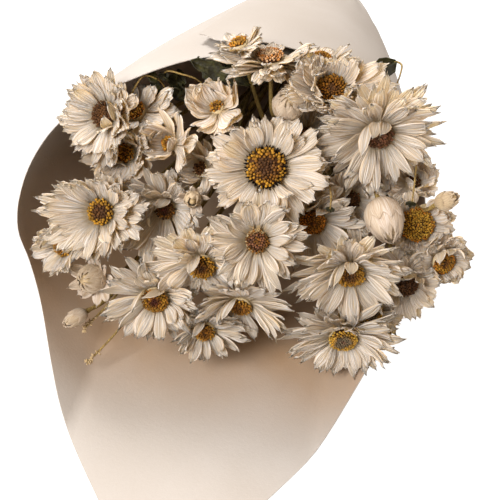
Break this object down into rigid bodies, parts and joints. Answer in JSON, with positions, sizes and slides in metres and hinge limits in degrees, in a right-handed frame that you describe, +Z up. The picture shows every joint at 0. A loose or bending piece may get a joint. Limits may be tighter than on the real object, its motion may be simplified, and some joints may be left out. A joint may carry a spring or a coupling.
{
  "type": "dried daisy bunch",
  "caption": "Bunch of dried everlasting daisies with papery petals, tied at the stems and lying in a rolled paper wrap.",
  "frame": {"origin": "under the middle of the bunch's bounding box, on the surface it lies on", "axes": "+Z up, +Y from the heads towards the cut stems, +X to the right as seen from the heads"},
  "size_m": [0.1756, 0.4178, 0.1304],
  "materials": {
    "wrap_paper": "matt uncoated cream wrapping paper",
    "twine": "rough jute twine",
    "straw_stem": "dry straw-coloured stem",
    "dried_leaf": "matt dried leaf, dark green",
    "petal": "satiny papery petal, ivory white",
    "floret_gold": "granular dry florets, gold to brown",
    "bud_scale": "papery closed bud scales, cream"
  },
  "bodies": {
    "root": {"paper_wrap": "wrap_paper", "stem_tie": "twine", "stems": "straw_stem", "leaf_right": "dried_leaf", "leaf_left": "dried_leaf", "daisy_01_petals": "petal", "daisy_01_disc": "floret_gold", "daisy_02_petals": "petal", "daisy_02_disc": "floret_gold", "daisy_03_petals": "petal", "daisy_03_disc": "floret_gold", "daisy_04_petals": "petal", "daisy_04_disc": "floret_gold", "daisy_05_petals": "petal", "daisy_05_disc": "floret_gold", "daisy_06_petals": "petal", "daisy_06_disc": "floret_gold", "daisy_07_petals": "petal", "daisy_07_disc": "floret_gold", "daisy_08_petals": "petal", "daisy_08_disc": "floret_gold", "daisy_09_petals": "petal", "daisy_09_disc": "floret_gold", "daisy_10_petals": "petal", "daisy_10_disc": "floret_gold", "daisy_11_petals": "petal", "daisy_11_disc": "floret_gold", "daisy_12_petals": "petal", "daisy_12_disc": "floret_gold", "daisy_13_petals": "petal", "daisy_13_disc": "floret_gold", "daisy_14_petals": "petal", "daisy_14_disc": "floret_gold", "daisy_15_petals": "petal", "daisy_15_disc": "floret_gold", "daisy_16_petals": "petal", "daisy_16_disc": "floret_gold", "daisy_17_petals": "petal", "daisy_17_disc": "floret_gold", "daisy_18_petals": "petal", "daisy_18_disc": "floret_gold", "daisy_19_petals": "petal", "daisy_19_disc": "floret_gold", "cup_01": "petal", "cup_02": "petal", "cup_03": "petal", "cup_04": "petal", "cup_05": "petal", "cup_06": "petal", "cup_07": "petal", "cup_08": "petal", "cup_09": "petal", "cup_10": "petal", "cup_11": "petal", "bud_round": "bud_scale", "bud_hanging": "bud_scale", "bud_rosette": "bud_scale", "bud_almond": "bud_scale", "pod_cream": "bud_scale", "pod_brown_spot": "bud_scale"}
  },
  "joints": []
}
